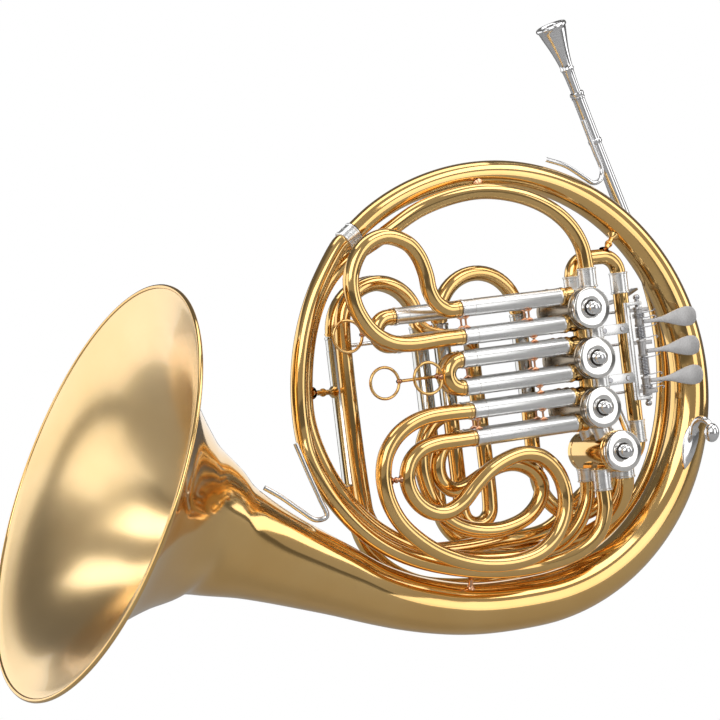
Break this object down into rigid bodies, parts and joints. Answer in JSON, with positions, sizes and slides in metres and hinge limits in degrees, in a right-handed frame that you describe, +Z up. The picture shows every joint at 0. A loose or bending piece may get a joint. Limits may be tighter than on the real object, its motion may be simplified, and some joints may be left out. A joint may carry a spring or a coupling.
{
  "type": "french horn",
  "caption": "Circular brass horn with a wide flared bell, rotary valves worked by finger and thumb levers, drawn tuning slides and a cup mouthpiece.",
  "frame": {"origin": "middle of the ring, on the plane of the big ring tube, where the left hand passes through", "axes": "+X away from the bell, +Z up past the mouthpiece end, the valve caps face -Y"},
  "size_m": [0.5902, 0.3058, 0.4647],
  "materials": {
    "lacquered_brass": "clear lacquer over yellow brass",
    "satin_nickel": "satin nickel silver",
    "polished_nickel": "polished nickel silver",
    "raw_brass": "bare turned brass",
    "steel": "satin",
    "matte_lever": "fine matte nickel",
    "silver": "bright silver plate"
  },
  "bodies": {
    "body": {"b_sleeves_1": "satin_nickel", "b_sleeves_2": "satin_nickel", "b_sleeves_3": "satin_nickel", "bell_brace": "silver", "bell_flare": "lacquered_brass", "bell_rim": "lacquered_brass", "bell_tail": "lacquered_brass", "branch_ferrule": "satin_nickel", "cap_1": "polished_nickel", "cap_2": "polished_nickel", "cap_3": "polished_nickel", "cap_change": "polished_nickel", "casing_1": "satin_nickel", "casing_2": "satin_nickel", "casing_3": "satin_nickel", "casing_change": "satin_nickel", "f_return": "lacquered_brass", "f_sleeves_1": "satin_nickel", "f_sleeves_2": "satin_nickel", "f_sleeves_3": "satin_nickel", "f_tuning_sleeves": "satin_nickel", "finger_hook": "silver", "first_branch": "lacquered_brass", "fixed_loop": "lacquered_brass", "inner_branch": "lacquered_brass", "leadpipe": "lacquered_brass", "leadpipe_brace": "silver", "lever_rack": "steel", "lever_rod": "steel", "lever_spring_1": "steel", "lever_spring_2": "steel", "main_return": "lacquered_brass", "main_sleeves": "satin_nickel", "receiver": "silver", "valve_bow": "lacquered_brass"},
    "rotor_1": {"rotor_1": "raw_brass", "stop_arm_1": "steel"},
    "rotor_2": {"rotor_2": "raw_brass", "stop_arm_2": "steel"},
    "rotor_3": {"rotor_3": "raw_brass", "stop_arm_3": "steel"},
    "rotor_change": {"rotor_change": "raw_brass", "stop_arm_change": "steel"},
    "lever_1": {"lever_1": "matte_lever"},
    "lever_2": {"lever_2": "matte_lever"},
    "lever_3": {"lever_3": "matte_lever"},
    "link_1": {"link_1": "steel"},
    "link_2": {"link_2": "steel"},
    "link_3": {"link_3": "steel"},
    "thumb_lever": {"thumb_lever": "matte_lever"},
    "link_change": {"link_change": "steel"},
    "f_crook_1": {"f_crook_1": "lacquered_brass"},
    "f_crook_2": {"f_crook_2": "lacquered_brass"},
    "f_crook_3": {"f_crook_3": "lacquered_brass"},
    "b_crook_1": {"b_crook_1": "lacquered_brass"},
    "b_crook_2": {"b_crook_2": "lacquered_brass"},
    "b_crook_3": {"b_crook_3": "lacquered_brass"},
    "main_bow": {"main_bow": "lacquered_brass"},
    "f_tuning_bow": {"f_tuning_bow": "lacquered_brass"},
    "mouthpiece": {"mouthpiece": "silver"}
  },
  "joints": [
    {"name": "lever_1_turn", "type": "hinge", "parent": "body", "child": "lever_1", "pos_m": [0.116, -0.028, 0.0445], "axis": [0, 0, 1], "range_deg": [0, 13.3], "stiffness_Nm_per_rad": 0.08, "springref_deg": -20.05},
    {"name": "rotor_1_turn", "type": "hinge", "parent": "body", "child": "rotor_1", "pos_m": [0.0625, -0.02, 0.06], "axis": [0, 1, 0], "range_deg": [0, 90]},
    {"name": "link_1_swing", "type": "hinge", "parent": "lever_1", "child": "link_1", "pos_m": [0.1237, 0.0135, 0.0538], "axis": [0, 0, 1], "range_deg": [-14, 14]},
    {"name": "lever_2_turn", "type": "hinge", "parent": "body", "child": "lever_2", "pos_m": [0.116, -0.028, 0.0215], "axis": [0, 0, 1], "range_deg": [0, 13.3], "stiffness_Nm_per_rad": 0.08, "springref_deg": -20.05},
    {"name": "rotor_2_turn", "type": "hinge", "parent": "body", "child": "rotor_2", "pos_m": [0.0625, -0.02, 0.022], "axis": [0, 1, 0], "range_deg": [-90, 0]},
    {"name": "link_2_swing", "type": "hinge", "parent": "lever_2", "child": "link_2", "pos_m": [0.1237, 0.0135, 0.0282], "axis": [0, 0, 1], "range_deg": [-14, 14]},
    {"name": "lever_3_turn", "type": "hinge", "parent": "body", "child": "lever_3", "pos_m": [0.116, -0.028, -0.0015], "axis": [0, 0, 1], "range_deg": [0, 13.3], "stiffness_Nm_per_rad": 0.08, "springref_deg": -20.05},
    {"name": "rotor_3_turn", "type": "hinge", "parent": "body", "child": "rotor_3", "pos_m": [0.0625, -0.02, -0.016], "axis": [0, 1, 0], "range_deg": [-90, 0]},
    {"name": "link_3_swing", "type": "hinge", "parent": "lever_3", "child": "link_3", "pos_m": [0.1237, 0.0135, -0.0098], "axis": [0, 0, 1], "range_deg": [-14, 14]},
    {"name": "thumb_lever_turn", "type": "hinge", "parent": "body", "child": "thumb_lever", "pos_m": [0.1085, 0.023, 0], "axis": [0, 0, 1], "range_deg": [-20.9, 0], "stiffness_Nm_per_rad": 0.08, "springref_deg": 20.05},
    {"name": "rotor_change_turn", "type": "hinge", "parent": "body", "child": "rotor_change", "pos_m": [0.0755, -0.02, -0.051], "axis": [0, 1, 0], "range_deg": [0, 90]},
    {"name": "link_change_swing", "type": "hinge", "parent": "thumb_lever", "child": "link_change", "pos_m": [0.1085, 0.051, -0.0448], "axis": [0, 0, 1], "range_deg": [-21, 21]},
    {"name": "f_crook_1_draw", "type": "slide", "parent": "body", "child": "f_crook_1", "axis": [-1, 0, 0], "range_m": [0, 0.045]},
    {"name": "f_crook_2_draw", "type": "slide", "parent": "body", "child": "f_crook_2", "axis": [-1, 0, 0], "range_m": [0, 0.045]},
    {"name": "f_crook_3_draw", "type": "slide", "parent": "body", "child": "f_crook_3", "axis": [-1, 0, 0], "range_m": [0, 0.045]},
    {"name": "b_crook_1_draw", "type": "slide", "parent": "body", "child": "b_crook_1", "axis": [-1, 0, 0], "range_m": [0, 0.038]},
    {"name": "b_crook_2_draw", "type": "slide", "parent": "body", "child": "b_crook_2", "axis": [-1, 0, 0], "range_m": [0, 0.04]},
    {"name": "b_crook_3_draw", "type": "slide", "parent": "body", "child": "b_crook_3", "axis": [-1, 0, 0], "range_m": [0, 0.03]},
    {"name": "main_bow_draw", "type": "slide", "parent": "body", "child": "main_bow", "axis": [0, 0, 1], "range_m": [0, 0.04]},
    {"name": "f_tuning_bow_draw", "type": "slide", "parent": "body", "child": "f_tuning_bow", "axis": [0, 0, 1], "range_m": [0, 0.04]},
    {"name": "mouthpiece_pull", "type": "slide", "parent": "body", "child": "mouthpiece", "axis": [-0.3275, -0.0732, 0.942], "range_m": [0, 0.03]}
  ],
  "couplings": [
    {"joint": "rotor_1_turn", "follows": "lever_1_turn", "ratio": 6.76},
    {"joint": "link_1_swing", "follows": "lever_1_turn", "ratio": -1},
    {"joint": "rotor_2_turn", "follows": "lever_2_turn", "ratio": -6.76},
    {"joint": "link_2_swing", "follows": "lever_2_turn", "ratio": -1},
    {"joint": "rotor_3_turn", "follows": "lever_3_turn", "ratio": -6.76},
    {"joint": "link_3_swing", "follows": "lever_3_turn", "ratio": -1},
    {"joint": "rotor_change_turn", "follows": "thumb_lever_turn", "ratio": -4.3},
    {"joint": "link_change_swing", "follows": "thumb_lever_turn", "ratio": -1}
  ]
}
